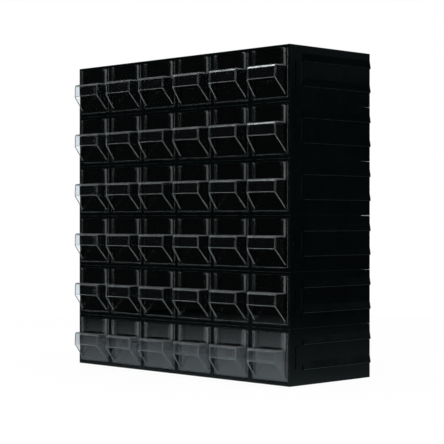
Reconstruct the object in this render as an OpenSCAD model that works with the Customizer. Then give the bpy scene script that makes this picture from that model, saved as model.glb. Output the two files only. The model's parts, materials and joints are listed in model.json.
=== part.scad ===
// Stackable parts cabinet: interlocking black cases, each with a row of clear pull-out drawers.
// Millimetres. The front faces -Y and +Z is up. The origin is the middle of the bottom case's base.

/* [Cabinet] */
// Number of cases stacked on each other
rows = 6; // [1:1:6]
// Number of drawers side by side in each case
cols = 6; // [1:1:6]
// Depth of a case from its front edge to its back
case_d = 144; // [110:1:220]

/* [Case walls] */
// Thickness of the left and right end walls
end_wall_t = 2.8; // [2.4:0.1:5]
// Width of a partition between two drawers
partition_t = 6; // [4.4:0.1:9]
// Thickness of the two skins of a hollow partition
partition_skin = 1.6; // [1:0.1:2]
// Solid depth of a partition behind the front edge
partition_nose = 5; // [3:0.5:12]
// Thickness of the top plate
top_t = 3.4; // [2.4:0.1:5]
// Thickness of the bottom plate
bottom_t = 4.1; // [3.6:0.1:7]
// Thickness of the back panel
back_t = 2; // [1.4:0.1:4]

/* [Underside] */
// Depth of the pockets in the underside
pocket_depth = 2; // [0.8:0.1:2.4]
// Width of the ribs around the pockets
pocket_rib = 8; // [4:0.5:12]
// Length of the relief under the back edge, which leaves a slit between two cases
relief_l = 16; // [8:1:24]
// Height of the relief under the back edge
relief_h = 0.2; // [0.1:0.05:1.6]

/* [Rails and grooves] */
// How far a rail stands out of its wall
rail_proud = 1.5; // [1:0.1:1.7]
// Width of a rail's ramp, from its foot to its crest
rail_ramp = 8.5; // [5:0.5:11]
// Width of a rail's crest
rail_crest = 0.8; // [0.4:0.1:2]
// Width of the steep side of a rail
rail_hook = 0.8; // [0.4:0.1:2]
// Distance between the crests of a pair of rails
rail_spacing = 29.2; // [24:0.2:34]
// Distance of the rails' front ends from the case's front edge
rail_setback = 22; // [21.5:0.5:40]
// Clearance of a groove around its rail
rail_clearance = 0.2; // [0.1:0.05:0.3]

/* [Latch pad] */
// Distance of the pad's front edge from the case's front edge
pad_setback = 10; // [9:0.1:10.6]
// Length of the raised latch pad, front to back
pad_l = 9.6; // [7:0.1:10]
// Height of the raised latch pad
pad_h = 28; // [18:0.5:34]
// Radius of the latch pad's corners
pad_round = 3; // [1:0.5:3.4]
// How far the latch pad stands out of the end wall
pad_proud = 0.9; // [0.4:0.1:1.4]
// Width of the slits beside the latch pad
slit_w = 1.2; // [0.8:0.1:1.3]
// Length of one slit
slit_l = 9; // [5:0.5:10]
// Depth of the slits beside the latch pad
slit_depth = 1.2; // [0.6:0.1:1.6]
// Diameter of the round stud in front of the pad
stud_d = 3.4; // [2:0.1:4.2]
// How far the round stud stands out of the end wall
stud_proud = 0.7; // [0.3:0.1:1.4]
// Distance of the stud's centre from the case's front edge
stud_setback = 5.4; // [4:0.1:5.6]

/* [Drawer tray] */
// Width of the drawer's front wall
drawer_w = 57; // [56:0.5:80]
// Height of the drawer
drawer_h = 57.4; // [52:0.2:72]
// How far the tray's sides stand in from the edges of the front wall
tray_inset = 0.5; // [0:0.1:1.5]
// Thickness of the drawer's front wall
front_t = 1.8; // [1.2:0.1:2.6]
// Thickness of the tray's sides and back
tray_wall = 1.4; // [1:0.1:2.4]
// Thickness of the tray's floor
tray_floor = 1.6; // [1:0.1:2.6]
// Height that the tray's sides lose from front to back
side_fall = 6; // [0:0.5:14]
// How far the front wall sits behind the case's front edge
front_recess = 0; // [0:0.1:3]
// Radius of the drawer's bottom front edge
toe_round = 1.6; // [0.6:0.1:2]

/* [Drawer clearances] */
// Gap under the drawer
gap_below = 0.3; // [0.2:0.05:0.6]
// Gap above the drawer
gap_above = 0.8; // [0.4:0.1:2]
// Gap on each side of the front wall
gap_side = 0.7; // [0.4:0.1:1.5]
// Gap behind the tray when the drawer is shut
gap_back = 6; // [0.2:0.2:10]

/* [Pull and label holder] */
// Height of the pull's ledge above the drawer's underside
ledge_z = 38.4; // [30:0.2:42]
// How far the pull stands out of the case's front edge
pull_reach = 15.8; // [10:0.2:20]
// Height of the pull's apron
apron_h = 15.8; // [8:0.2:18]
// Width of the pull at the front wall, and of the label holder above it
pull_w = 50.8; // [46:0.2:55]
// Width of the pull at its apron
apron_w = 46.8; // [36:0.2:52]
// Thickness of the pull's walls
pull_wall = 1.4; // [1:0.1:2.2]
// Radius of the edge between the ledge and the apron
pull_round = 3; // [2.4:0.2:5]
// Height of the cheeks' lower ends above the drawer's underside
cheek_foot = 3.8; // [2:0.1:6]
// How far the label guides stand out of the front wall
guide_proud = 3.4; // [2:0.1:5]
// Width of the label guides' lips
guide_w = 4; // [2:0.2:8]
// Thickness of the label guides
guide_t = 1.2; // [0.8:0.1:1.8]
// Radius of the inner corner at the top of a label guide
guide_round = 1.5; // [0.4:0.1:1.8]

/* [Hidden] */
// What is drawn: one node's name, or all of them
// A cut runs this far past the surface that it opens
past = 1;
// Flat steps of a quarter of a round edge, and sides of the round stud
round_steps = 4;
stud_sides = 12;

// Sizes that follow from the ones above
bay_w = drawer_w + 2 * gap_side;
bay_h = drawer_h + gap_below + gap_above;
pitch = bay_w + partition_t;
case_w = cols * bay_w + (cols - 1) * partition_t + 2 * end_wall_t;
case_h = bottom_t + bay_h + top_t;
front_y = -case_d / 2;
back_y = case_d / 2;
bay_back_y = back_y - back_t;
rail_y = front_y + rail_setback;
face_y = front_y + front_recess;
guide_y = face_y - guide_proud;
tray_w = drawer_w - 2 * tray_inset;
tray_back_y = bay_back_y - gap_back;
pull_y = front_y - pull_reach;
// The rails on top of a case lie over these bays, and the pockets under the other ones
rail_bays = cols > 3 ? [2, cols - 1] : [1, cols];
pocket_bays = [for (c = [1:cols]) if (c != rail_bays[0] && c != rail_bays[1]) c];

// Row 1 is the top one, and column 1 the left one
function case_name(r) = str("case_row", r);
function back_name(r) = str("back_row", r);
function drawer_name(r, c) = str("drawer_r", r, "c", c);
function case_z(r) = (rows - r) * case_h;
function bay_x(c) = (c - (cols + 1) / 2) * pitch;

// Points of a quarter of a circle that starts at the given angle
function quarter(centre, radius, start) = [
    for (i = [0:round_steps])
        let (angle = start + 90 * i / round_steps)
            [centre[0] + radius * cos(angle), centre[1] + radius * sin(angle)]
];

// A flat outline in X and Z, drawn out along +Y from y = from
module along_y(from, length) {
    translate([0, from + length, 0]) rotate([90, 0, 0]) linear_extrude(length) children();
}

// A flat outline in Y and Z, drawn out along X on both sides of x = 0
module along_x(width) {
    rotate([90, 0, 90]) linear_extrude(width, center = true) children();
}

// ---------------------------------------------------------------- case

// Edges of a rail that stands on the X axis, at height z: its steep side and its ramp.
// With a clearance they are the sides of the groove, which stay that far from the rail.
function hook_x(z, clearance) =
    rail_hook * (z / rail_proud - 1) - clearance * norm([rail_hook, rail_proud]) / rail_proud;
function ramp_x(z, clearance) =
    rail_crest + rail_ramp * (1 - z / rail_proud) + clearance * norm([rail_ramp, rail_proud]) / rail_proud;

// Section of a rail, or with a clearance of the groove that it slides in
module rail_outline(clearance) {
    foot_z = -clearance;
    crest_z = rail_proud + clearance;
    polygon([
        [hook_x(foot_z, clearance), foot_z],
        [hook_x(crest_z, clearance), crest_z],
        [ramp_x(crest_z, clearance), crest_z],
        [ramp_x(foot_z, clearance), foot_z]
    ]);
}

// Sections of two rails side by side
module rail_pair(clearance) {
    for (side = [-1, 1]) translate([side * rail_spacing / 2, 0]) rail_outline(clearance);
}

// Sections on an end wall at x, with their steep sides down
module end_wall_rails(x, clearance) {
    translate([x, case_h / 2]) mirror([1, -1]) rail_pair(clearance);
}

// Sections over the bays that carry a pair of rails, at height z
module plate_rails(z, clearance) {
    for (c = rail_bays) translate([bay_x(c), z]) rail_pair(clearance);
}

// Rails on the right wall and on top, from their front ends to the back
module rails() {
    rail_l = back_y - rail_y;
    along_y(rail_y, rail_l) end_wall_rails(case_w / 2, 0);
    along_y(rail_y, rail_l) plate_rails(case_h, 0);
}

// Grooves in the left wall and in the underside, open at the back
module grooves() {
    groove_y = rail_y - rail_clearance;
    groove_l = back_y - groove_y + past;
    along_y(groove_y, groove_l) end_wall_rails(-case_w / 2, rail_clearance);
    along_y(groove_y, groove_l) plate_rails(0, rail_clearance);
}

// The space that one drawer slides in
module bay(c) {
    translate([bay_x(c) - bay_w / 2, front_y - past, bottom_t])
        cube([bay_w, case_d - back_t + past, bay_h]);
}

// The back panel of a case, or with some more length the opening that it closes
module back_board(length) {
    board_w = case_w - 2 * end_wall_t;
    translate([-board_w / 2, bay_back_y, bottom_t]) cube([board_w, length, bay_h]);
}

// The hollow inside the partition to the right of bay c, closed by the back panel
module partition_core(c) {
    core_w = partition_t - 2 * partition_skin;
    translate([bay_x(c) + (pitch - core_w) / 2, front_y + partition_nose, bottom_t])
        cube([core_w, case_d - partition_nose + past, bay_h]);
}

// Two shallow pockets under bay c, in front of and behind a rib across the middle
module pockets(c) {
    front_l = -front_y - 1.5 * pocket_rib;
    back_l = back_y - relief_l - 1.5 * pocket_rib;
    pocket_w = bay_w - pocket_rib;
    translate([bay_x(c) - pocket_w / 2, front_y + pocket_rib, -past])
        cube([pocket_w, front_l, pocket_depth + past]);
    translate([bay_x(c) - pocket_w / 2, pocket_rib / 2, -past])
        cube([pocket_w, back_l, pocket_depth + past]);
}

// The step under the back edge
module back_relief() {
    translate([-case_w / 2 - past, back_y - relief_l, -past])
        cube([case_w + 2 * past, relief_l + past, relief_h + past]);
}

// The raised pad near the front of the right wall, between the heights of the two rails
module latch_pad() {
    far_y = pad_l - pad_round;
    far_z = pad_h / 2 - pad_round;
    root = end_wall_t / 2;
    translate([case_w / 2 - root, front_y + pad_setback, case_h / 2]) rotate([90, 0, 90])
        linear_extrude(root + pad_proud) polygon(concat(
            quarter([far_y, far_z], pad_round, 0), quarter([pad_round, far_z], pad_round, 90),
            quarter([pad_round, -far_z], pad_round, 180), quarter([far_y, -far_z], pad_round, 270)
        ));
}

// The round stud in front of the latch pad
module stud() {
    root = end_wall_t / 2;
    translate([case_w / 2 - root, front_y + stud_setback, case_h / 2]) rotate([0, 90, 0])
        cylinder(h = root + stud_proud, d = stud_d, $fn = stud_sides);
}

// One blind slit in the right wall, its front edge at y and its middle at z
module slit(y, z) {
    translate([case_w / 2 - slit_depth, y, z - slit_l / 2]) cube([slit_depth + past, slit_w, slit_l]);
}

// Two slits in front of the latch pad and one behind it
module latch_slits() {
    for (side = [-1, 1])
        slit(front_y + pad_setback - slit_w, case_h / 2 + side * (pad_h - slit_l) / 2);
    slit(front_y + pad_setback + pad_l, case_h / 2);
}

// One case without its back panel, as the bottom one of the stack
module case_shape() {
    difference() {
        union() {
            translate([-case_w / 2, front_y, 0]) cube([case_w, case_d, case_h]);
            rails();
            latch_pad();
            stud();
        }
        for (c = [1:cols]) bay(c);
        back_board(back_t + past);
        if (cols > 1) for (c = [1:cols - 1]) partition_core(c);
        for (c = pocket_bays) pockets(c);
        grooves();
        back_relief();
        latch_slits();
    }
}

module drawer_case(r) {
    color([0.03, 0.03, 0.035]) translate([0, 0, case_z(r)]) case_shape();
}

module back_panel(r) {
    color([0.06, 0.06, 0.065]) translate([0, 0, case_z(r)]) back_board(back_t);
}

// ---------------------------------------------------------------- drawer

// Side view of the tray, from the outside of the front wall to its back
module tray_side() {
    polygon([
        [face_y + front_t / 2, toe_round],
        [face_y + toe_round, 0],
        [tray_back_y, 0],
        [tray_back_y, drawer_h - side_fall],
        [face_y + front_t / 2, drawer_h]
    ]);
}

// Side view of the front wall, with its rounded toe
module front_side() {
    polygon(concat(
        quarter([face_y + toe_round, toe_round], toe_round, 180),
        [[face_y + toe_round + front_t, 0], [face_y + front_t, toe_round], [face_y + front_t, drawer_h],
         [face_y, drawer_h]]
    ));
}

// The open tray and its front wall
module tray() {
    difference() {
        union() {
            along_x(drawer_w) front_side();
            along_x(tray_w) tray_side();
        }
        translate([-tray_w / 2 + tray_wall, face_y + front_t, tray_floor])
            cube([tray_w - 2 * tray_wall, tray_back_y - tray_wall - face_y - front_t, drawer_h]);
    }
}

// The hooded pull: a ledge, an apron, and two cheeks that slope back to the foot of the front wall
module pull() {
    seat_y = face_y + front_t / 2;
    round_centre = [pull_y + pull_round, ledge_z - pull_round];
    difference() {
        intersection() {
            along_x(pull_w) polygon(concat(
                [[seat_y, ledge_z]], quarter(round_centre, pull_round, 90),
                [[pull_y, ledge_z - apron_h], [face_y, cheek_foot], [seat_y, cheek_foot]]
            ));
            linear_extrude(ledge_z) pull_plan(0, 0, seat_y);
        }
        intersection() {
            along_x(pull_w) polygon(concat(
                [[face_y, ledge_z - pull_wall]], quarter(round_centre, pull_round - pull_wall, 90),
                [[pull_y + pull_wall, -past], [face_y, -past]]
            ));
            translate([0, 0, -past]) linear_extrude(ledge_z + past) pull_plan(pull_wall, past, face_y);
        }
    }
}

// The pull seen from above, narrowed by a wall on each side, up to the given rear edge.
// It keeps its full width under the label guides and then narrows to its apron.
module pull_plan(wall, reach, rear_y) {
    taper = (pull_w - apron_w) / 2 / (guide_y - pull_y);
    far_w = apron_w / 2 - wall - taper * reach;
    polygon([
        [-pull_w / 2 + wall, rear_y],
        [-pull_w / 2 + wall, guide_y],
        [-far_w, pull_y - reach],
        [far_w, pull_y - reach],
        [pull_w / 2 - wall, guide_y],
        [pull_w / 2 - wall, rear_y]
    ]);
}

// The right label guide above the pull: a rib on the front wall and a lip that turns inwards
module label_guide() {
    guide_h = drawer_h - ledge_z + pull_wall / 2;
    foot_z = drawer_h - guide_h;
    translate([pull_w / 2 - guide_t, guide_y, foot_z])
        cube([guide_t, guide_proud + front_t / 2, guide_h]);
    along_y(guide_y, guide_t) polygon(concat(
        [[pull_w / 2 - guide_w, foot_z], [pull_w / 2, foot_z], [pull_w / 2, drawer_h]],
        quarter([pull_w / 2 - guide_w + guide_round, drawer_h - guide_round], guide_round, 90)
    ));
}

module drawer(r, c) {
    color([0.82, 0.87, 0.9, 0.4])
        translate([bay_x(c), 0, case_z(r) + bottom_t + gap_below]) {
            tray();
            pull();
            label_guide();
            mirror([1, 0, 0]) label_guide();
        }
}

for (r = [1:rows]) drawer_case(r);
for (r = [1:rows]) back_panel(r);
for (r = [1:rows], c = [1:cols]) drawer(r, c);
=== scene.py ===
"""Dresses a stack of interlocking black cases with clear drawers, in metres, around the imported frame.

The front faces -Y, +Z is up, and the origin is the middle of the bottom case's base.
"""

import json
import math

import bmesh
import bpy
from mathutils import Matrix, Vector


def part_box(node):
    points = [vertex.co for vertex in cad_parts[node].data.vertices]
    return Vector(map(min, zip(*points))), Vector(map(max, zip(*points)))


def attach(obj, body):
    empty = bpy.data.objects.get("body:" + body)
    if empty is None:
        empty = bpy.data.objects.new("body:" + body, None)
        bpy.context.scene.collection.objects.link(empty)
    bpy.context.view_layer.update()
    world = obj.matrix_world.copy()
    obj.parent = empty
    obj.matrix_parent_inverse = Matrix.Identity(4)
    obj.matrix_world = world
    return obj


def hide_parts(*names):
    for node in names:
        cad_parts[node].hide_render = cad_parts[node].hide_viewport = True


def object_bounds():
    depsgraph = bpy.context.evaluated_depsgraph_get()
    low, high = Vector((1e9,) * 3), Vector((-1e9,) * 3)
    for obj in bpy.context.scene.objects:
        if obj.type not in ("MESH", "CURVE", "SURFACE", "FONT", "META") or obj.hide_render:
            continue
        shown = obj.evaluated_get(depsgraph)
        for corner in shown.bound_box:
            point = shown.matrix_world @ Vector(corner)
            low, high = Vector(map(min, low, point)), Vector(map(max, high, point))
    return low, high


bl_info = {
    "name": "Parts Cabinet",
    "version": (1, 0, 0),
    "blender": (4, 5, 0),
    "location": "3D View > Sidebar > Cabinet",
    "description": "Adds the cases and the clear drawers of a stacked parts cabinet",
    "category": "Add Mesh",
}

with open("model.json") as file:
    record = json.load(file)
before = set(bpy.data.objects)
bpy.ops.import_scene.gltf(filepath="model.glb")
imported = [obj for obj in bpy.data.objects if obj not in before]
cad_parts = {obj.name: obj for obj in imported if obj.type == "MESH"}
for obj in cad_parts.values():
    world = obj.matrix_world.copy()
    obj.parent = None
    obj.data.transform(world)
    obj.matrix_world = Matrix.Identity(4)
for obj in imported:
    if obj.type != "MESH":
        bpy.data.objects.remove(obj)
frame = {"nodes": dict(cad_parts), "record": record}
CAD_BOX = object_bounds()
MM = 0.001
HAIR = 0.00001  # places closer than this are the same
OVERSHOOT = 1 * MM  # how far a cutting box reaches out of the piece that it cuts

CASES = sorted(name for name in frame["nodes"] if name.startswith("case_row"))
BACKS = sorted(name for name in frame["nodes"] if name.startswith("back_row"))
DRAWERS = sorted(name for name in frame["nodes"] if name.startswith("drawer_r"))
BODY_OF = {
    node: body
    for body, nodes in frame["record"]["behaviour"]["bodies"].items()
    for node in nodes
}


# ---------------------------------------------------------------- sizes that a user can change


def length(name, description, millimetres):
    """A size that is given in millimetres here and kept in metres."""
    return bpy.props.FloatProperty(
        name=name, description=description, default=millimetres * MM, min=0.0, unit="LENGTH", precision=5
    )


def colour(name, description, rgb):
    """An opaque colour."""
    return bpy.props.FloatVectorProperty(
        name=name, description=description, default=(*rgb, 1.0), size=4, min=0.0, max=1.0, subtype="COLOR"
    )


def share(name, description, value):
    """A number from 0 to 1."""
    return bpy.props.FloatProperty(
        name=name, description=description, default=value, min=0.0, max=1.0, subtype="FACTOR"
    )


def angle(name, description, degrees):
    """An angle that is given in degrees here and kept in radians."""
    return bpy.props.FloatProperty(
        name=name, description=description, default=math.radians(degrees), subtype="ANGLE"
    )


class CabinetCaseSettings(bpy.types.PropertyGroup):
    end_wall: length("End wall", "Thickness of the left and right walls", 2.8)
    partition: length("Partition", "Width of a partition between two drawers", 6.0)
    partition_skin: length("Partition skin", "Thickness of a hollow partition's skins", 1.6)
    partition_nose: length("Partition nose", "Solid depth of a partition behind its front edge", 5.0)
    top: length("Top plate", "Thickness of the top plate", 3.4)
    bottom: length("Bottom plate", "Thickness of the bottom plate", 4.1)
    back: length("Back panel", "Thickness of the back panel", 2.0)
    rail_proud: length("Rail height", "How far a rail stands out of its wall", 1.5)
    rail_root: length("Rail root", "How deep a rail's foot lies in its wall", 0.4)
    rail_ramp: length("Rail ramp", "Width of a rail's ramp", 8.5)
    rail_crest: length("Rail crest", "Width of a rail's crest", 0.8)
    rail_hook: length("Rail hook", "Width of a rail's steep side", 0.8)
    rail_spacing: length("Rail spacing", "Distance between the crests of a pair of rails", 29.2)
    rail_setback: length("Rail setback", "Distance of a rail's front end from the front edge", 22.0)
    rail_clearance: length("Rail clearance", "Clearance of a groove around its rail", 0.2)
    pocket_depth: length("Pocket depth", "Depth of the pockets in the underside", 2.0)
    pocket_rib: length("Pocket rib", "Width of the ribs around the pockets", 8.0)
    relief_l: length("Relief length", "Length of the relief under the back edge", 16.0)
    relief_h: length("Relief height", "Height of the relief under the back edge", 0.2)
    pad_setback: length("Pad setback", "Distance of the latch pad from the front edge", 10.0)
    pad_l: length("Pad length", "Length of the latch pad", 9.6)
    pad_h: length("Pad height", "Height of the latch pad", 28.0)
    pad_round: length("Pad corner", "Radius of the latch pad's corners", 3.0)
    pad_edge: length("Pad edge round", "Radius of the latch pad's outer edges", 0.45)
    pad_proud: length("Pad rise", "How far the latch pad stands out", 0.9)
    slit_w: length("Slit width", "Width of the slits beside the latch pad", 1.2)
    slit_l: length("Slit length", "Length of the slits beside the latch pad", 9.0)
    slit_depth: length("Slit depth", "Depth of the slits beside the latch pad", 1.2)
    stud_d: length("Stud diameter", "Diameter of the round stud", 3.4)
    stud_dome: length("Stud dome", "Radius of the round stud's domed end", 0.56)
    stud_proud: length("Stud rise", "How far the round stud stands out", 0.7)
    stud_setback: length("Stud setback", "Distance of the stud from the front edge", 5.4)
    edge: length("Edge round", "Radius of the case's long outer edges", 0.6)
    front_edge: length("Front edge round", "Radius of the case's front edges", 0.48)
    back_edge: length("Back edge round", "Radius of the back panel's edges", 0.3)
    rail_edge: length("Rail edge round", "Radius of the rails' crests", 0.36)
    tone: colour("Plastic", "Colour of the black plastic", (0.001, 0.0018, 0.0019))
    # painted sheen: a lighter tone and stronger gloss for the case's front edge roundings and the rail
    # crests' undersides, so that they show highlight lines
    painted_sheen_tone: colour("Worn plastic", "Colour of the plastic where it is rubbed", (0.004, 0.005, 0.0055))
    gloss: share("Gloss", "Strength of the black plastic's reflections; 0.5 is usual", 0.12)
    edge_painted_sheen_gloss: share("Worn gloss", "Strength of the worn front edges' reflections", 0.18)
    crest_painted_sheen_gloss: share("Rubbed gloss", "Strength of the rubbed crests' reflections", 0.8)


class CabinetDrawerSettings(bpy.types.PropertyGroup):
    front: length("Front wall", "Thickness of the front wall", 1.8)
    wall: length("Wall", "Thickness of the tray's sides and back", 1.4)
    floor: length("Floor", "Thickness of the tray's floor", 1.6)
    inset: length("Tray inset", "How far the tray's sides stand in from the front wall's edges", 0.5)
    side_fall: length("Side fall", "Height that the sides lose from front to back", 6.0)
    toe: length("Toe round", "Radius of the bottom front edge", 1.6)
    ledge_z: length("Ledge height", "Height of the pull's ledge above the underside", 38.4)
    reach: length("Reach", "How far the pull stands out of the front wall", 15.8)
    apron_h: length("Apron height", "Height of the pull's apron", 15.8)
    pull_w: length("Pull width", "Width of the pull at the front wall", 50.8)
    apron_w: length("Apron width", "Width of the pull at its apron", 46.8)
    pull_wall: length("Pull wall", "Thickness of the pull's walls", 1.4)
    apron_draft: length("Apron draft", "How far the apron leans back from its foot to the ledge", 0.5)
    pull_round: length("Pull round", "Radius of the edge between ledge and apron", 3.0)
    cheek_foot: length("Cheek foot", "Height of the cheeks' lower ends", 3.8)
    guide_proud: length("Guide depth", "How far the label guides stand out of the front wall", 3.4)
    guide_drop: length("Guide drop", "How far the guides' tops lie under the front wall's top", 0.1)
    guide_w: length("Guide width", "Width of the label guides' lips", 4.0)
    guide_t: length("Guide thickness", "Thickness of the label guides", 1.2)
    guide_round: length("Guide round", "Radius at the top of a label guide", 1.5)
    side_round: length("Side round", "Radius of the ledge's side edges and the apron's corners", 1.8)
    rim: length("Rim round", "Radius of the pull's rim", 0.6)
    edge: length("Edge round", "Radius of the front wall's and the guides' edges", 0.45)
    # painted highlights: these shares turn chosen edges of the clear plastic into lamp-lit milky white, in
    # place of the light that real edges collect; the tone below is its colour
    ledge_painted_glow: share("Ledge haze", "Share of milky light in the ledge's roundings", 0.09)
    guide_painted_glow: share("Guide haze", "Share of milky light in the guides' sides and the pull's rim", 0.13)
    corner_painted_glow: share("Corner haze", "Share of milky light in the other edges", 0.02)
    tone: colour("Clear plastic", "Tint of the clear plastic", (0.93, 0.97, 1.0))
    painted_glow_tone: colour("Edge light", "Colour of the light that collects in the edges", (0.8, 0.86, 0.88))
    refraction: bpy.props.FloatProperty(
        name="Refraction", description="Refractive index of the clear plastic", default=1.5, min=1.0
    )


class CabinetStageSettings(bpy.types.PropertyGroup):
    floor_reach: length("Floor reach", "Half the width of the pale floor", 950.0)
    floor_gap: length("Floor gap", "Distance of the floor from the underside", 0.2)
    floor_tone: colour("Floor", "Colour of the floor", (0.86, 0.87, 0.88))
    floor_glow: share("Floor glow", "Share of plain white in the floor that the camera sees", 0.95)
    floor_mirrored: share("Mirrored floor", "Level of the near floor in mirrors", 0.95)
    floor_behind: share("Mirrored floor behind", "Level of the floor behind the object in mirrors", 0.4)
    floor_far: length("Floor far", "Distance at which the mirrored floor is dark", 1300.0)
    cool_white: colour("Mirrored white", "Colour of the white surroundings in mirrors", (0.76, 0.94, 1.0))
    strip: share("Mirrored strip", "Level in mirrors of the pale strip low behind the right side", 0.7)
    room: share("Room", "Level of the light from all round on dull surfaces", 0.55)
    room_mirrored: share("Mirrored room", "Level of the dim room in mirrors", 0.02)
    target: bpy.props.FloatVectorProperty(
        name="Target", description="Point that the camera looks at",
        default=(0.005, 0.003, 0.190), unit="LENGTH",
    )
    distance: length("Distance", "Distance of the camera from its target", 1807.5)
    azimuth: angle("Azimuth", "Angle of the camera to the right of the front", 45.53)
    elevation: angle("Elevation", "Angle of the camera above the target", 0.1)
    lens: bpy.props.FloatProperty(
        name="Lens", description="Focal length in millimetres", default=114.0, min=10.0
    )


SETTINGS = {
    "cabinet_case": CabinetCaseSettings,
    "cabinet_drawer": CabinetDrawerSettings,
    "cabinet_stage": CabinetStageSettings,
}


# ---------------------------------------------------------------- modelling by hand, in code


FOLDED = 0.1  # least angle at a folded edge, in radians
SHARP = math.radians(50)  # least angle at a sharp edge
FLAT = math.radians(0.5)  # faces that meet at less than this angle are one
# Shares of a face's normal along an axis
SQUARE = 0.9  # more than this, and the face is square to the axis
ROUNDED = 0.18  # more than this along two axes, and the face is a rounding: a cheek's taper has less
TILTED = 0.15  # more than this along Z, and a rounding looks up or down


def deselect_all():
    if bpy.context.object and bpy.context.object.mode != "OBJECT":
        bpy.ops.object.mode_set(mode="OBJECT")
    bpy.ops.object.select_all(action="DESELECT")


def activate(piece):
    deselect_all()
    piece.select_set(True)
    bpy.context.view_layer.objects.active = piece


def add_box(name, low, high):
    """A cube primitive between two corners, with its place in its mesh."""
    low, high = Vector(low), Vector(high)
    deselect_all()
    bpy.ops.mesh.primitive_cube_add(size=1.0, location=(low + high) / 2, scale=high - low)
    bpy.ops.object.transform_apply(location=True, rotation=True, scale=True)
    piece = bpy.context.object
    piece.name = name
    return piece


def near(value, target):
    return abs(value - target) < HAIR


def is_between(value, low, high):
    return low < value < high


def everything(*place):
    """The test that all verts and faces pass."""
    return True


def pick(piece, kind, test):
    """In edit mode, selects only the verts, the folded edges or the faces of piece that pass the test.

    A vert is tested by its place, an edge by both its ends and a face by its centre and its normal.
    """
    activate(piece)
    bpy.ops.object.mode_set(mode="EDIT")
    bpy.ops.mesh.select_mode(type={"verts": "VERT", "edges": "EDGE", "faces": "FACE"}[kind])
    bpy.ops.mesh.select_all(action="DESELECT")
    mesh = bmesh.from_edit_mesh(piece.data)
    for item in getattr(mesh, kind):
        if kind == "verts":
            chosen = test(item.co)
        elif kind == "edges":
            chosen = item.calc_face_angle(0.0) > FOLDED and all(test(vert.co) for vert in item.verts)
        else:
            chosen = test(item.calc_center_median(), item.normal)
        if chosen:
            item.select_set(True)
    mesh.select_flush_mode()
    bmesh.update_edit_mesh(piece.data)


def cut_through(piece, axis, place):
    """Cuts every face of piece along the plane at place on the axis."""
    pick(piece, "faces", everything)
    point, direction = Vector(), Vector()
    point[axis] = place
    direction[axis] = 1.0
    bpy.ops.mesh.bisect(plane_co=point, plane_no=direction)
    bpy.ops.object.mode_set(mode="OBJECT")


def shift(piece, test, offset):
    """Moves the vertices that pass the test."""
    pick(piece, "verts", test)
    bpy.ops.transform.translate(value=offset)
    bpy.ops.object.mode_set(mode="OBJECT")


def bevel_selected(radius, steps):
    bpy.ops.mesh.bevel(
        offset=radius, offset_type="OFFSET", segments=steps, profile=0.5, affect="EDGES", clamp_overlap=False
    )
    bpy.ops.object.mode_set(mode="OBJECT")


def round_edges(piece, test, radius, steps=4):
    """Rounds the edges whose two ends pass the test."""
    pick(piece, "edges", test)
    bevel_selected(radius, steps)


def round_sharp(piece, radius, steps=3):
    """Rounds all sharp edges."""
    activate(piece)
    bpy.ops.object.mode_set(mode="EDIT")
    bpy.ops.mesh.select_mode(type="EDGE")
    bpy.ops.mesh.select_all(action="DESELECT")
    bpy.ops.mesh.edges_select_sharp(sharpness=SHARP)
    bevel_selected(radius, steps)


def push_faces(piece, test, offset):
    """Extrudes the faces that pass the test, along the offset."""
    pick(piece, "faces", test)
    bpy.ops.mesh.extrude_region_move(TRANSFORM_OT_translate={"value": offset})
    bpy.ops.object.mode_set(mode="OBJECT")


def drop_faces(piece, test):
    pick(piece, "faces", test)
    bpy.ops.mesh.delete(type="FACE")
    bpy.ops.object.mode_set(mode="OBJECT")


def apply_modifier(piece, kind, **values):
    activate(piece)
    modifier = piece.modifiers.new(kind.lower(), kind)
    for name, value in values.items():
        setattr(modifier, name, value)
    bpy.ops.object.modifier_apply(modifier=modifier.name)


def put_in_order(elements, place):
    """Sorts the verts, edges or faces of a mesh by the places that the function gives."""
    ranks = {element.index: rank for rank, element in enumerate(sorted(elements, key=place))}
    elements.sort(key=lambda element: ranks[element.index])
    elements.index_update()


def settle_order(piece):
    """Puts a mesh in an order that is the same each run, so that the next operator has the same result."""
    mesh = bmesh.new()
    mesh.from_mesh(piece.data)
    put_in_order(mesh.verts, lambda vert: tuple(vert.co))
    put_in_order(mesh.edges, lambda edge: sorted(vert.index for vert in edge.verts))
    put_in_order(mesh.faces, lambda face: sorted(vert.index for vert in face.verts))
    mesh.to_mesh(piece.data)
    mesh.free()


def combine(piece, others, operation):
    """Unites others with piece, or cuts them out of it, and removes them."""
    for other in others:
        settle_order(piece)
        settle_order(other)
        apply_modifier(piece, "BOOLEAN", object=other, operation=operation, solver="EXACT")
        bpy.data.objects.remove(other, do_unlink=True)


def merge_doubles(piece):
    """Merges doubles in a closed piece and turns all its faces outwards."""
    pick(piece, "faces", everything)
    bpy.ops.mesh.remove_doubles(threshold=0.5 * HAIR)
    bpy.ops.mesh.normals_make_consistent(inside=False)
    if bmesh.from_edit_mesh(piece.data).calc_volume(signed=True) < 0:
        bpy.ops.mesh.flip_normals()
    bpy.ops.object.mode_set(mode="OBJECT")


def clean(piece):
    """Merges doubles and joins the flat faces that the booleans left in pieces."""
    merge_doubles(piece)
    settle_order(piece)
    pick(piece, "faces", everything)
    bpy.ops.mesh.dissolve_limited(angle_limit=FLAT)
    bpy.ops.object.mode_set(mode="OBJECT")


def copy_to(pattern, name, offset):
    """A copy of the pattern with its own mesh, moved inside the mesh."""
    piece = pattern.copy()
    piece.data = pattern.data.copy()
    piece.name = piece.data.name = name
    piece.data.transform(Matrix.Translation(offset))
    bpy.context.scene.collection.objects.link(piece)
    return piece


def is_rounding(normal):
    return sum(abs(part) > ROUNDED for part in normal) > 1


def set_materials(piece, materials):
    piece.data.materials.clear()
    for made in materials:
        piece.data.materials.append(made)


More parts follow.
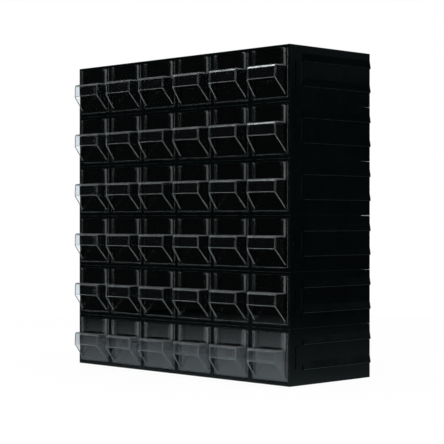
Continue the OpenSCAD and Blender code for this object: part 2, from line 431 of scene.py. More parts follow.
def give_material(piece, index, test):
    """Gives the faces that pass the test the material of the slot with that index."""
    pick(piece, "faces", test)
    piece.active_material_index = index
    bpy.ops.object.material_slot_assign()
    bpy.ops.object.mode_set(mode="OBJECT")


# ---------------------------------------------------------------- materials


NOISE_SPAN = (0.35, 0.65)  # most values of a noise lie in this range


class NodeTree:
    """The nodes of a material or a world, with short ways to add more.

    A value is a number, a colour or the output of another node.
    """

    def __init__(self, owner):
        owner.use_nodes = True
        self.nodes = owner.node_tree.nodes
        self.links = owner.node_tree.links

    def feed(self, socket, value):
        """Links a socket to an output, or sets it to a number or a colour."""
        if isinstance(value, bpy.types.NodeSocket):
            self.links.new(value, socket)
        else:
            socket.default_value = value

    def noise(self, patches, detail=2.0):
        """Noise on object coordinates, with a number of patches a metre."""
        place = self.nodes.new("ShaderNodeTexCoord")
        pattern = self.nodes.new("ShaderNodeTexNoise")
        self.feed(pattern.inputs["Vector"], place.outputs["Object"])
        self.feed(pattern.inputs["Scale"], patches)
        self.feed(pattern.inputs["Detail"], detail)
        return pattern.outputs["Fac"]

    def spread(self, source, low, high, span=NOISE_SPAN):
        """Maps the source's span onto the range from low to high."""
        ranged = self.nodes.new("ShaderNodeMapRange")
        self.feed(ranged.inputs["Value"], source)
        self.feed(ranged.inputs["From Min"], span[0])
        self.feed(ranged.inputs["From Max"], span[1])
        self.feed(ranged.inputs["To Min"], low)
        self.feed(ranged.inputs["To Max"], high)
        return ranged.outputs["Result"]

    def blend_colours(self, noise, first, second):
        """The first colour where the noise is low, the second where it is high."""
        ramp = self.nodes.new("ShaderNodeValToRGB")
        for element, place, rgba in zip(ramp.color_ramp.elements, NOISE_SPAN, (first, second)):
            element.position = place
            element.color = rgba
        self.feed(ramp.inputs["Fac"], noise)
        return ramp.outputs["Color"]

    def blend(self, factor, first, second):
        """The first value where the factor is 0, the second where it is 1."""
        mix = self.nodes.new("ShaderNodeMix")
        self.feed(mix.inputs["Factor"], factor)
        self.feed(mix.inputs["A"], first)
        self.feed(mix.inputs["B"], second)
        return mix.outputs["Result"]

    def calculate(self, operation, *values):
        """The result of a Math node."""
        maths = self.nodes.new("ShaderNodeMath")
        maths.operation = operation
        for socket, value in zip(maths.inputs, values):
            self.feed(socket, value)
        return maths.outputs["Value"]

    def reach_along(self, place, direction):
        """How far a place lies along a direction."""
        product = self.nodes.new("ShaderNodeVectorMath")
        product.operation = "DOT_PRODUCT"
        self.feed(product.inputs[0], place)
        self.feed(product.inputs[1], direction)
        return product.outputs["Value"]

    def bump(self, shader, noise, height, strength):
        """Gives a shader's surface the noise's waves, up to a height."""
        bump = self.nodes.new("ShaderNodeBump")
        self.feed(bump.inputs["Height"], noise)
        self.feed(bump.inputs["Distance"], height)
        self.feed(bump.inputs["Strength"], strength)
        self.feed(shader.inputs["Normal"], bump.outputs["Normal"])


def new_material(name):
    """A new material, its nodes and its main shader."""
    made = bpy.data.materials.new(name)
    tree = NodeTree(made)
    return made, tree, tree.nodes["Principled BSDF"]


def scaled(rgba, factor):
    """An opaque colour at another brightness."""
    return (rgba[0] * factor, rgba[1] * factor, rgba[2] * factor, 1.0)


def black_plastic(sizes):
    """Glossy moulded plastic with slight waves and dull patches."""
    made, tree, shader = new_material("black_plastic")
    flow = tree.noise(patches=14, detail=3)
    dull = tree.noise(patches=55, detail=5)
    waves = tree.noise(patches=240)
    dark, pale = scaled(sizes.tone, 0.8), scaled(sizes.tone, 1.2)
    tree.feed(shader.inputs["Base Color"], tree.blend_colours(flow, dark, pale))
    tree.feed(shader.inputs["Roughness"], tree.spread(dull, low=0.12, high=0.2))
    tree.feed(shader.inputs["Specular IOR Level"], sizes.gloss)
    tree.bump(shader, waves, height=0.02 * MM, strength=0.1)
    return made


def worn_black_plastic(sizes, name, gloss):
    """The same plastic, lighter and glossier: a painted sheen for faces that should show highlight lines."""
    made, tree, shader = new_material(name)
    sheen_patches = tree.noise(patches=120, detail=4)
    tree.feed(shader.inputs["Base Color"], tree.blend_colours(sheen_patches, sizes.tone, sizes.painted_sheen_tone))
    tree.feed(shader.inputs["Roughness"], tree.spread(sheen_patches, low=0.2, high=0.4))
    tree.feed(shader.inputs["Specular IOR Level"], gloss)
    return made


def clear_plastic(sizes):
    """Clear polystyrene with faint haze and flow marks."""
    made, tree, shader = new_material("clear_plastic")
    haze = tree.noise(patches=70, detail=4)
    flow = tree.noise(patches=30, detail=1)
    tree.feed(shader.inputs["Base Color"], tree.blend_colours(haze, sizes.tone, scaled(sizes.tone, 0.97)))
    tree.feed(shader.inputs["Roughness"], tree.spread(haze, low=0.0, high=0.02))
    tree.feed(shader.inputs["Transmission Weight"], 1.0)
    tree.feed(shader.inputs["IOR"], sizes.refraction)
    tree.bump(shader, flow, height=0.02 * MM, strength=0.1)
    return made


def clear_plastic_painted_glow(sizes, name, haze):
    """Clear plastic for chosen edges, with a share of lamp-lit milky white painted in: a painted highlight in
    place of the light that the real edges collect.
    """
    made, tree, shader = new_material(name)
    glow = tree.noise(patches=90)
    dull_tone = scaled(sizes.painted_glow_tone, 0.9)
    tree.feed(shader.inputs["Base Color"], tree.blend_colours(glow, dull_tone, sizes.painted_glow_tone))
    tree.feed(shader.inputs["Roughness"], tree.spread(glow, low=0.05, high=0.15))
    tree.feed(shader.inputs["Transmission Weight"], 1.0 - haze)
    tree.feed(shader.inputs["IOR"], sizes.refraction)
    return made


# ---------------------------------------------------------------- cases


# both slots hold a painted sheen: lighter, glossier copies of the plastic that show highlight lines
EDGE_SHEEN, CREST_SHEEN = 1, 2  # a case's material slots after its first, which is plain


class CasePlan:
    """Where the parts of the bottom case lie, from the frame and the settings."""

    def __init__(self, sizes):
        low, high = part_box(CASES[-1])
        prefix = CASES[-1].replace("case_row", "drawer_r") + "c"
        self.columns = sum(name.startswith(prefix) for name in DRAWERS)
        self.front = low.y
        self.back = high.y
        self.base = low.z
        self.top = high.z - sizes.rail_proud
        self.middle = (self.base + self.top) / 2
        self.right = high.x - sizes.rail_proud
        self.left = -self.right
        inside = 2 * self.right - 2 * sizes.end_wall
        self.bay_w = (inside - (self.columns - 1) * sizes.partition) / self.columns
        self.pitch = self.bay_w + sizes.partition
        self.bay_low = self.base + sizes.bottom
        self.bay_high = self.top - sizes.top
        self.rail_front = self.front + sizes.rail_setback
        self.rail_bays = (2, self.columns - 1) if self.columns > 3 else (1, self.columns)
        self.pad_front = self.front + sizes.pad_setback

    def bay_x(self, column):
        """The middle of a column."""
        return (column - (self.columns + 1) / 2) * self.pitch


def hollow_block(plan, sizes):
    """The block of a case: its bays are pushed in from the front, its partitions' cores from behind."""
    block = add_box("case_block", (plan.left, plan.front, plan.base), (plan.right, plan.back, plan.top))
    bays = [plan.bay_x(column) for column in range(1, plan.columns + 1)]
    cores = [x + plan.pitch / 2 for x in bays[:-1]]
    bay_half = plan.bay_w / 2
    core_half = sizes.partition / 2 - sizes.partition_skin
    for middles, half in ((bays, bay_half), (cores, core_half)):
        for x in middles:
            cut_through(block, 0, x - half)
            cut_through(block, 0, x + half)
    cut_through(block, 2, plan.bay_low)
    cut_through(block, 2, plan.bay_high)

    def inside(centre, middles, half):
        level = is_between(centre.z, plan.bay_low, plan.bay_high)
        return level and any(abs(centre.x - x) < half for x in middles)

    seat, seat_half = plan.back - sizes.back, plan.right - sizes.end_wall
    push_faces(
        block,
        lambda centre, normal: near(centre.y, plan.back) and inside(centre, [0], seat_half),
        (0, -sizes.back, 0),
    )
    push_faces(
        block,
        lambda centre, normal: near(centre.y, plan.front) and inside(centre, bays, bay_half),
        (0, seat - plan.front, 0),
    )
    push_faces(
        block,
        lambda centre, normal: near(centre.y, seat) and inside(centre, cores, core_half),
        (0, plan.front + sizes.partition_nose - seat, 0),
    )
    drop_faces(block, lambda centre, normal: near(centre.y, seat) and inside(centre, bays, bay_half))
    merge_doubles(block)
    for z in (plan.base, plan.top):
        round_edges(block, lambda place: near(abs(place.x), plan.right) and near(place.z, z), sizes.edge)
    round_edges(block, lambda place: near(place.y, plan.front), sizes.front_edge)
    return block


def hook_at(height, gap, sizes):
    """Place of a rail's steep side at a height over its wall; with a gap, of its groove's side."""
    slant = math.hypot(sizes.rail_hook, sizes.rail_proud) / sizes.rail_proud
    return sizes.rail_hook * (height / sizes.rail_proud - 1) - gap * slant


def ramp_at(height, gap, sizes):
    """Place of a rail's ramp at a height over its wall; with a gap, of its groove's side."""
    slant = math.hypot(sizes.rail_ramp, sizes.rail_proud) / sizes.rail_proud
    return sizes.rail_crest + sizes.rail_ramp * (1 - height / sizes.rail_proud) + gap * slant


def rail_bar(corner, along, out, gap, sizes, y_range):
    """A rail whose crest starts over the corner, or with a gap its groove.

    along and out are the axes of its section: along the wall and out of it.
    """
    foot, crest = -sizes.rail_root, sizes.rail_proud + gap
    low, high = Vector(corner), Vector(corner)
    low.y, high.y = y_range
    low[out] += foot
    high[out] += crest
    low[along] += hook_at(foot, gap, sizes)
    high[along] += ramp_at(foot, gap, sizes)
    bar = add_box("rail", low, high)
    hook, ramp = Vector(), Vector()
    hook[along] = hook_at(crest, gap, sizes) - hook_at(foot, gap, sizes)
    ramp[along] = ramp_at(crest, gap, sizes) - ramp_at(foot, gap, sizes)
    shift(bar, lambda place: near(place[out], high[out]) and near(place[along], low[along]), hook)
    shift(bar, lambda place: near(place[out], high[out]) and near(place[along], high[along]), ramp)
    if not gap:
        round_edges(bar, lambda place: near(place[out], high[out]), sizes.rail_edge, steps=3)
    return bar


def rail_set(plan, sizes, gap, y_range, wall_x, plate_z):
    """The rails, or with a gap the grooves, of one end wall and of one plate."""
    bars = []
    for step in (-sizes.rail_spacing / 2, sizes.rail_spacing / 2):
        bars.append(rail_bar((wall_x, 0, plan.middle + step), 2, 0, gap, sizes, y_range))
        for column in plan.rail_bays:
            bars.append(rail_bar((plan.bay_x(column) + step, 0, plate_z), 0, 2, gap, sizes, y_range))
    return bars


def latch_pad(plan, sizes):
    """The raised pad near the front of the right wall."""
    ends = (plan.pad_front, plan.pad_front + sizes.pad_l)
    levels = (plan.middle - sizes.pad_h / 2, plan.middle + sizes.pad_h / 2)
    outside = plan.right + sizes.pad_proud
    pad = add_box(
        "latch_pad", (plan.right - sizes.end_wall / 2, ends[0], levels[0]), (outside, ends[1], levels[1])
    )
    for y in ends:
        for z in levels:
            round_edges(pad, lambda place: near(place.y, y) and near(place.z, z), sizes.pad_round)
    round_edges(pad, lambda place: near(place.x, outside), sizes.pad_edge, steps=3)
    return pad


def stud(plan, sizes):
    """The round stud in front of the latch pad, with a domed end."""
    root, tip = plan.right - sizes.end_wall / 2, plan.right + sizes.stud_proud
    deselect_all()
    bpy.ops.mesh.primitive_cylinder_add(
        vertices=24, radius=sizes.stud_d / 2, depth=tip - root,
        location=((root + tip) / 2, plan.front + sizes.stud_setback, plan.middle),
        rotation=(0, math.pi / 2, 0),
    )
    bpy.ops.object.transform_apply(location=True, rotation=True, scale=True)
    piece = bpy.context.object
    piece.name = "stud"
    round_edges(piece, lambda place: near(place.x, tip), sizes.stud_dome, steps=3)
    return piece


def latch_slits(plan, sizes):
    """Two slits in front of the latch pad and one behind it."""
    swing = (sizes.pad_h - sizes.slit_l) / 2
    before, behind = plan.pad_front - sizes.slit_w, plan.pad_front + sizes.pad_l
    return [
        add_box(
            "slit",
            (plan.right - sizes.slit_depth, y, z - sizes.slit_l / 2),
            (plan.right + OVERSHOOT, y + sizes.slit_w, z + sizes.slit_l / 2),
        )
        for y, z in ((before, plan.middle - swing), (before, plan.middle + swing), (behind, plan.middle))
    ]


def underside_cuts(plan, sizes):
    """The step under the back edge and the pockets in the underside."""
    below = plan.base - OVERSHOOT
    rib = sizes.pocket_rib
    half = (plan.bay_w - rib) / 2
    relief_start = plan.back - sizes.relief_l
    cuts = [
        add_box(
            "relief",
            (plan.left - OVERSHOOT, relief_start, below),
            (plan.right + OVERSHOOT, plan.back + OVERSHOOT, plan.base + sizes.relief_h),
        )
    ]
    for column in range(1, plan.columns + 1):
        if column in plan.rail_bays:
            continue
        x = plan.bay_x(column)
        for start, end in ((plan.front + rib, -rib / 2), (rib / 2, relief_start - rib)):
            cuts.append(
                add_box("pocket", (x - half, start, below), (x + half, end, plan.base + sizes.pocket_depth))
            )
    return cuts


def build_case(sizes):
    """The bottom case: the hollow block with its rails, pad and stud, less its grooves, slits and pockets."""
    plan = CasePlan(sizes)
    case = hollow_block(plan, sizes)
    rails = rail_set(plan, sizes, 0.0, (plan.rail_front, plan.back), plan.right, plan.top)
    combine(case, [*rails, latch_pad(plan, sizes), stud(plan, sizes)], "UNION")
    gap = sizes.rail_clearance
    grooves = rail_set(plan, sizes, gap, (plan.rail_front - gap, plan.back + OVERSHOOT), plan.left, plan.base)
    combine(case, [*grooves, *latch_slits(plan, sizes), *underside_cuts(plan, sizes)], "DIFFERENCE")
    clean(case)
    return case


def build_back(sizes):
    """The back panel of the bottom case."""
    plan = CasePlan(sizes)
    half = plan.right - sizes.end_wall
    front = plan.back - sizes.back
    panel = add_box("back_panel", (-half, front, plan.bay_low), (half, plan.back, plan.bay_high))
    round_edges(panel, lambda place: near(place.y, plan.back), sizes.back_edge, steps=2)
    return panel


def mark_painted_sheen(case, sizes):
    """Gives the case's front edge roundings and the undersides of the side rails' crests a painted sheen:
    lighter, glossier plastics that show highlight lines.
    """
    low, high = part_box(CASES[-1])
    front = low.y + sizes.edge
    crest = high.x - sizes.rail_edge
    # a rubbed face here is a crest face that gets the painted sheen
    outwards = 0.55  # least share of X in a rubbed face's normal
    give_material(case, EDGE_SHEEN, lambda centre, normal: centre.y < front and is_rounding(normal))
    give_material(
        case,
        CREST_SHEEN,
        lambda centre, normal: centre.x > crest and normal.x > outwards and normal.z < -TILTED,
    )


class CABINET_OT_add_cases(bpy.types.Operator):
    """Add the stacked black cases"""

    bl_idname = "cabinet.add_cases"
    bl_label = "Add Cases"

    def execute(self, context):
        sizes = context.scene.cabinet_case
        plastics = (
            black_plastic(sizes),
            worn_black_plastic(sizes, "worn_black_plastic", sizes.edge_painted_sheen_gloss),
            worn_black_plastic(sizes, "rubbed_black_plastic", sizes.crest_painted_sheen_gloss),
        )
        case, back = build_case(sizes), build_back(sizes)
        set_materials(case, plastics)
        set_materials(back, plastics)
        mark_painted_sheen(case, sizes)
        for pattern, nodes in ((case, CASES), (back, BACKS)):
            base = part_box(nodes[-1])[0].z
            for node in nodes:
                piece = copy_to(pattern, node + "_shell", (0, 0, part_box(node)[0].z - base))
                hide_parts(node)
                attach(piece, BODY_OF[node])
            bpy.data.objects.remove(pattern, do_unlink=True)
        return {"FINISHED"}


# ---------------------------------------------------------------- drawers


# these slots hold painted highlights on the edges, from bright to faint
BRIGHT, SOFT, FAINT = 1, 2, 3  # a drawer's material slots after its first, which is clear


class DrawerPlan:
    """Where the parts of a drawer lie, about its own middle and from its own underside."""

    def __init__(self, sizes):
        low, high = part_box(DRAWERS[0])
        self.half = (high.x - low.x) / 2
        self.height = high.z - low.z
        self.tray_half = self.half - sizes.inset
        self.pull_y = low.y
        self.face = low.y + sizes.reach
        self.seat = self.face + sizes.front / 2
        self.guide_y = self.face - sizes.guide_proud
        self.guide_x = sizes.pull_w / 2 - HAIR
        self.apron_foot = sizes.ledge_z - sizes.apron_h
        self.back = high.y


def tray(plan, sizes):
    """The open tray: a box whose top slopes back, inset and pushed down to its floor."""
    start = plan.face + sizes.front - sizes.wall
    piece = add_box("tray", (-plan.tray_half, start, 0), (plan.tray_half, plan.back, plan.height))
    toe = sizes.toe + plan.face - start
    round_edges(piece, lambda place: near(place.y, start) and near(place.z, 0), toe)
    fall = (0, 0, -sizes.side_fall)
    shift(piece, lambda place: near(place.y, plan.back) and near(place.z, plan.height), fall)
    pick(piece, "faces", lambda centre, normal: normal.z > SQUARE)
    bpy.ops.mesh.inset(thickness=sizes.wall)
    bpy.ops.mesh.extrude_region_move(TRANSFORM_OT_translate={"value": (0, 0, -plan.height / 2)})
    bpy.ops.transform.resize(value=(1, 1, 0), center_override=(0, 0, sizes.floor))
    bpy.ops.object.mode_set(mode="OBJECT")
    return piece


def front_wall(plan, sizes):
    """The front wall, with a rounded toe."""
    back = plan.face + sizes.front
    piece = add_box("front_wall", (-plan.half, plan.face, 0), (plan.half, back, plan.height))
    round_edges(piece, lambda place: near(place.y, plan.face) and near(place.z, 0), sizes.toe)
    for x in (-plan.half, plan.half):
        round_edges(piece, lambda place: near(place.y, plan.face) and near(place.x, x), sizes.edge, steps=3)
    return piece


def pull(plan, sizes):
    """The hooded pull, drawn from a box whose underside and back are taken away."""
    half = sizes.pull_w / 2
    foot, ledge = sizes.cheek_foot, sizes.ledge_z
    piece = add_box("pull", (-half, plan.pull_y, foot), (half, plan.seat, ledge))
    cut_through(piece, 1, plan.face)
    rise = (0, 0, plan.apron_foot - foot)
    shift(piece, lambda place: near(place.y, plan.pull_y) and near(place.z, foot), rise)
    cut_through(piece, 1, plan.guide_y)
    pick(piece, "verts", lambda place: near(place.y, plan.pull_y))
    bpy.ops.transform.resize(value=(sizes.apron_w / sizes.pull_w, 1, 1), center_override=(0, plan.pull_y, 0))
    bpy.ops.object.mode_set(mode="OBJECT")
    drop_faces(piece, lambda centre, normal: normal.z < -TILTED or normal.y > SQUARE)
    lean = (0, sizes.apron_draft, 0)
    shift(piece, lambda place: near(place.y, plan.pull_y) and near(place.z, ledge), lean)
    round_pull(piece, plan, sizes)
    apply_modifier(piece, "SOLIDIFY", thickness=sizes.pull_wall, offset=-1.0, use_even_offset=True)
    round_sharp(piece, sizes.rim)
    return piece


def round_pull(piece, plan, sizes):
    """Rounds the pull's open shell: most over the apron, less at the ledge's sides and apron's corners."""
    apron_back = plan.pull_y + sizes.apron_draft + HAIR
    weights = piece.data.attributes.new("bevel_weight_edge", "FLOAT", "EDGE").data
    for edge, weight in zip(piece.data.edges, weights):
        first, second = (piece.data.vertices[index].co for index in edge.vertices)
        on_apron = max(first.y, second.y) < apron_back
        on_ledge = near(first.z, sizes.ledge_z) and near(second.z, sizes.ledge_z)
        at_corner = on_apron and not near(first.z, second.z)
        at_side = on_ledge and first.x * second.x > 0
        if on_apron and on_ledge:
            weight.value = 1.0
        elif at_corner or at_side:
            weight.value = sizes.side_round / sizes.pull_round
    apply_modifier(
        piece, "BEVEL", width=sizes.pull_round, segments=4, limit_method="WEIGHT", use_clamp_overlap=False,
        miter_outer="MITER_SHARP",
    )


def label_guides(plan, sizes):
    """The two L-shaped guides above the pull: ribs on the front wall whose lips are pushed out inwards."""
    foot, top = sizes.ledge_z - sizes.pull_wall / 2, plan.height - sizes.guide_drop
    lip_back = plan.guide_y + sizes.guide_t
    guides = []
    for side in (-1, 1):
        outside = side * plan.guide_x
        rib_side = side * (plan.guide_x - sizes.guide_t)
        lip_side = side * (plan.guide_x - sizes.guide_w)
        low_x, high_x = sorted((outside, rib_side))
        guide = add_box("guide", (low_x, plan.guide_y, foot), (high_x, plan.seat, top))
        cut_through(guide, 1, lip_back)
        push_faces(
            guide,
            lambda centre, normal: near(centre.x, rib_side) and centre.y < lip_back,
            (lip_side - rib_side, 0, 0),
        )
        round_edges(guide, lambda place: near(place.x, lip_side) and near(place.z, top), sizes.guide_round)
        round_edges(
            guide, lambda place: near(place.y, plan.guide_y) and place.z > sizes.ledge_z, sizes.edge, steps=3
        )
        guides.append(guide)
    return guides


def build_drawer(sizes):
    """One drawer: front wall, tray, pull and label guides in one skin."""
    plan = DrawerPlan(sizes)
    drawer = front_wall(plan, sizes)
    combine(drawer, [tray(plan, sizes), pull(plan, sizes), *label_guides(plan, sizes)], "UNION")
    clean(drawer)
    return drawer


def mark_painted_glow(drawer, sizes):
    """Gives the edges where the real plastic collects light their own plastics with painted highlights:
    ledges, guides and rims, other corners.
    """
    plan = DrawerPlan(sizes)
    ledge_low = sizes.ledge_z - sizes.pull_round
    wall_front = plan.face + sizes.edge
    foot_back = plan.pull_y + sizes.pull_wall

    def is_faint(centre, normal):
        on_guide = centre.z > sizes.ledge_z and centre.y < plan.face and abs(normal.y) < SQUARE
        return on_guide or centre.y < plan.face + sizes.toe and is_rounding(normal)

    def is_guide_side(centre, normal):
        outside = near(abs(centre.x), plan.guide_x) and abs(normal.x) > SQUARE
        return outside and centre.z > sizes.ledge_z and centre.y < plan.face

    def is_soft(centre, normal):
        on_foot = is_between(centre.z, plan.apron_foot - HAIR, plan.apron_foot + sizes.rim)
        on_rim = centre.z < ledge_low and centre.y < plan.face and normal.z < -TILTED
        on_side = abs(centre.x) > plan.half - sizes.edge and centre.y < wall_front
        on_edge = on_foot and centre.y < foot_back or on_rim or on_side
        return is_guide_side(centre, normal) or on_edge and is_rounding(normal)

    def is_bright(centre, normal):
        return centre.z > ledge_low and centre.y < plan.face and is_rounding(normal) and normal.z > TILTED

    give_material(drawer, FAINT, is_faint)
    give_material(drawer, SOFT, is_soft)
    give_material(drawer, BRIGHT, is_bright)


class CABINET_OT_add_drawers(bpy.types.Operator):
    """Add the clear drawers"""

    bl_idname = "cabinet.add_drawers"
    bl_label = "Add Drawers"

    def execute(self, context):
        sizes = context.scene.cabinet_drawer
        pattern = build_drawer(sizes)
        plastics = (
            clear_plastic(sizes),
            clear_plastic_painted_glow(sizes, "bright_edge", sizes.ledge_painted_glow),
            clear_plastic_painted_glow(sizes, "soft_edge", sizes.guide_painted_glow),
            clear_plastic_painted_glow(sizes, "faint_edge", sizes.corner_painted_glow),
        )
        set_materials(pattern, plastics)
        mark_painted_glow(pattern, sizes)
        for node in DRAWERS:
            low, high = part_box(node)
            piece = copy_to(pattern, node + "_clear", ((low.x + high.x) / 2, 0, low.z))
            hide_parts(node)
            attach(piece, BODY_OF[node])
        bpy.data.objects.remove(pattern, do_unlink=True)
        return {"FINISHED"}


# ---------------------------------------------------------------- stage


WHITE = (1.0, 1.0, 1.0, 1.0)
# Spans along the level direction in which a mirror shows the floor, in metres from the object's middle
FLOOR_TURN = (-0.25, -0.05)  # from the floor behind the object to the floor in front
FLOOR_RISE = (-1.2, -0.3)  # from dark to the level of the floor behind
FLOOR_FADE = 1.7  # power of the floor's fading in front
# Spans of a direction's share along Z or along a level direction
WHITE_FALL = (0.25, 0.5)  # upwards, from white to the dark above
WHITE_TURN = (0.3, 0.6)  # towards the camera's view, from the dim room to white
STRIP_RISE = (0.118, 0.128)  # upwards, the strip's lower edge
STRIP_FALL = (0.138, 0.155)  # upwards, the strip's upper edge
STRIP_TURN = (0.8, 0.9)  # towards the view that the right side mirrors, the strip's end


def view_direction(stage):
    """The level direction in which the camera looks."""
    return Vector((-math.sin(stage.azimuth), math.cos(stage.azimuth), 0.0))


def whiteness(tree, rays, stage):
    """White, and a cool white for mirrored rays.

    A ray through hazy plastic is glossy too, but stays white.
    """
    mix = tree.nodes.new("ShaderNodeMix")
    mix.data_type = "RGBA"
    mirrored = tree.nodes.new("ShaderNodeMath")
    mirrored.operation = "SUBTRACT"
    mirrored.use_clamp = True
    tree.feed(mirrored.inputs[0], rays["Is Glossy Ray"])
    tree.feed(mirrored.inputs[1], rays["Is Transmission Ray"])
    tree.feed(mix.inputs["Factor"], mirrored.outputs["Value"])
    tree.feed(mix.inputs["A"], WHITE)
    tree.feed(mix.inputs["B"], stage.cool_white)
    return mix.outputs["Result"]


def mirrored_floor(tree, stage):
    """The level at which mirrors show the floor: white in front of the object, fading far off and behind.

    In front is where the front walls mirror the camera's view.
    """
    place = tree.nodes.new("ShaderNodeTexCoord").outputs["Object"]
    view = view_direction(stage)
    ahead = tree.reach_along(place, (view.x, -view.y, 0.0))
    fade = tree.calculate("POWER", tree.spread(ahead, 1.0, 0.0, (0.0, stage.floor_far)), FLOOR_FADE)
    front = tree.calculate("MULTIPLY", fade, stage.floor_mirrored)
    back = tree.spread(ahead, 0.0, stage.floor_behind, FLOOR_RISE)
    return tree.blend(tree.spread(ahead, 0.0, 1.0, FLOOR_TURN), back, front)


def floor_material(stage):
    """A pale matt floor that looks white to the camera and in the plastic, and still takes the shadow."""
    made, tree, shader = new_material("pale_floor")
    grain = tree.noise(patches=30, detail=3)
    dull_tone = scaled(stage.floor_tone, 0.98)
    tree.feed(shader.inputs["Base Color"], tree.blend_colours(grain, dull_tone, stage.floor_tone))
    tree.feed(shader.inputs["Roughness"], 0.6)
    rays = tree.nodes.new("ShaderNodeLightPath").outputs
    glossy = rays["Is Glossy Ray"]
    white = tree.nodes.new("ShaderNodeEmission")
    tree.feed(white.inputs["Color"], whiteness(tree, rays, stage))
    tree.feed(white.inputs["Strength"], tree.blend(glossy, 1.0, mirrored_floor(tree, stage)))
    straight = tree.calculate("MAXIMUM", rays["Is Camera Ray"], rays["Is Transmission Ray"])
    glow = tree.calculate("MULTIPLY", straight, stage.floor_glow)
    mix = tree.nodes.new("ShaderNodeMixShader")
    tree.feed(mix.inputs["Fac"], tree.blend(glossy, glow, 1.0))
    tree.feed(mix.inputs[1], shader.outputs["BSDF"])
    tree.feed(mix.inputs[2], white.outputs["Emission"])
    tree.feed(tree.nodes["Material Output"].inputs["Surface"], mix.outputs["Shader"])
    return made


def pale_strip(tree, direction, height, stage):
    """A pale strip low behind the right side, which the ramps of the low rails mirror."""
    view = view_direction(stage)
    aside = tree.reach_along(direction, (-view.x, view.y, 0.0))
    rise = tree.spread(height, 0.0, stage.strip, STRIP_RISE)
    fall = tree.spread(height, 1.0, 0.0, STRIP_FALL)
    turn = tree.spread(aside, 0.0, 1.0, STRIP_TURN)
    return tree.calculate("MULTIPLY", tree.calculate("MULTIPLY", rise, fall), turn)


def studio_world(stage):
    """White to the camera and, low down, straight through the clear plastic.

    Mirrored, it is white only low behind the object.
    """
    world = bpy.data.worlds.new("studio")
    world.cycles.sampling_method = "NONE"
    tree = NodeTree(world)
    rays = tree.nodes.new("ShaderNodeLightPath").outputs
    direction = tree.nodes.new("ShaderNodeTexCoord").outputs["Generated"]
    parts = tree.nodes.new("ShaderNodeSeparateXYZ")
    tree.feed(parts.inputs["Vector"], direction)
    height = parts.outputs["Z"]
    low = tree.spread(height, 1.0, 0.0, WHITE_FALL)
    facing = tree.reach_along(direction, view_direction(stage))
    mirrored = tree.calculate("MULTIPLY", tree.spread(facing, stage.room_mirrored, 1.0, WHITE_TURN), low)
    mirrored = tree.calculate("MAXIMUM", mirrored, pale_strip(tree, direction, height, stage))
    unturned = tree.calculate("COMPARE", rays["Glossy Depth"], 0.0, 0.5)  # 1 where the depth is 0
    straight = tree.calculate("MULTIPLY", unturned, rays["Is Transmission Ray"])
    seen = tree.calculate("MAXIMUM", rays["Is Camera Ray"], tree.calculate("MULTIPLY", straight, low))
    in_plastic = tree.calculate("MAXIMUM", rays["Is Glossy Ray"], rays["Is Transmission Ray"])
    level = tree.blend(in_plastic, stage.room, mirrored)
    backdrop = tree.nodes["Background"]
    tree.feed(backdrop.inputs["Color"], whiteness(tree, rays, stage))
    tree.feed(backdrop.inputs["Strength"], tree.blend(seen, level, 1.0))
    bpy.context.scene.world = world


def add_lamp(name, place, target, size, power, mirrored=False):
    """A soft square lamp at place that shines at the target, or that the plastic only mirrors."""
    deselect_all()
    direction = Vector(target) - Vector(place)
    turn = direction.to_track_quat("-Z", "Y").to_euler()
    bpy.ops.object.light_add(type="AREA", location=place, rotation=turn)
    lamp = bpy.context.object
    lamp.name = name
    lamp.data.shape = "SQUARE"
    lamp.data.size = size
    lamp.data.energy = power
    lamp.visible_glossy = lamp.visible_transmission = mirrored
    lamp.visible_diffuse = not mirrored


def add_floor(stage):
    deselect_all()
    level = CAD_BOX[0].z - stage.floor_gap
    bpy.ops.mesh.primitive_plane_add(size=2 * stage.floor_reach, location=(0, 0, level))
    bpy.ops.object.transform_apply(location=True)
    floor = bpy.context.object
    floor.name = "pale_floor"
    floor.data.materials.append(floor_material(stage))


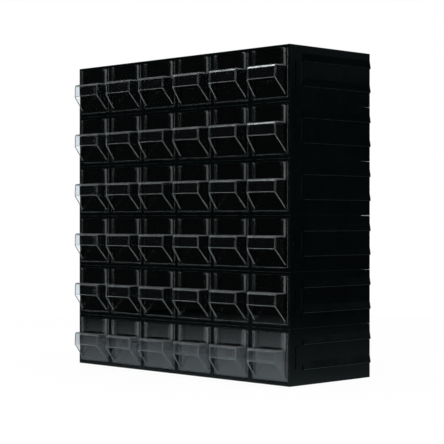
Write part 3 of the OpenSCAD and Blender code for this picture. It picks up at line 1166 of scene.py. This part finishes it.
def add_camera(context, stage):
    deselect_all()
    away = -math.cos(stage.elevation) * view_direction(stage)
    away.z = math.sin(stage.elevation)
    place = Vector(stage.target) + stage.distance * away
    turn = (-away).to_track_quat("-Z", "Y").to_euler()
    bpy.ops.object.camera_add(location=place, rotation=turn)
    camera = context.object
    camera.name = "camera"
    camera.data.lens = stage.lens
    context.scene.camera = camera


class CABINET_OT_add_stage(bpy.types.Operator):
    """Add the floor, the soft lamps, the pale world and the camera"""

    bl_idname = "cabinet.add_stage"
    bl_label = "Add Stage"

    def execute(self, context):
        stage = context.scene.cabinet_stage
        add_floor(stage)
        middle = (0, 0, CAD_BOX[1].z / 2)
        add_lamp("overhead_lamp", place=(0.0, 0.0, 2.4), target=middle, size=1.8, power=26)
        add_lamp("left_lamp", place=(-1.9, 0.2, 1.0), target=middle, size=1.8, power=5)
        add_lamp("front_lamp", place=(1.3, -1.7, 1.3), target=middle, size=1.2, power=34)
        add_lamp("ceiling_panel", (-1.03, 0.0, 2.4), (-1.03, 0.0, 0.0), size=1.8, power=26, mirrored=True)
        studio_world(stage)
        add_camera(context, stage)
        context.scene.view_settings.view_transform = "Standard"
        return {"FINISHED"}


# ---------------------------------------------------------------- panel and start


class CABINET_PT_panel(bpy.types.Panel):
    """Buttons that add the cabinet's pieces"""

    bl_label = "Parts Cabinet"
    bl_idname = "CABINET_PT_panel"
    bl_space_type = "VIEW_3D"
    bl_region_type = "UI"
    bl_category = "Cabinet"

    def draw(self, context):
        for operator in OPERATORS:
            self.layout.operator(operator.bl_idname)


OPERATORS = (CABINET_OT_add_cases, CABINET_OT_add_drawers, CABINET_OT_add_stage)
CLASSES = (*SETTINGS.values(), *OPERATORS, CABINET_PT_panel)


def register():
    for cls in CLASSES:
        bpy.utils.register_class(cls)
    for name, cls in SETTINGS.items():
        setattr(bpy.types.Scene, name, bpy.props.PointerProperty(type=cls))


def unregister():
    for name in SETTINGS:
        delattr(bpy.types.Scene, name)
    for cls in reversed(CLASSES):
        bpy.utils.unregister_class(cls)


def main():
    register()
    bpy.ops.cabinet.add_cases()
    bpy.ops.cabinet.add_drawers()
    bpy.ops.cabinet.add_stage()


if __name__ == "__main__":
    main()
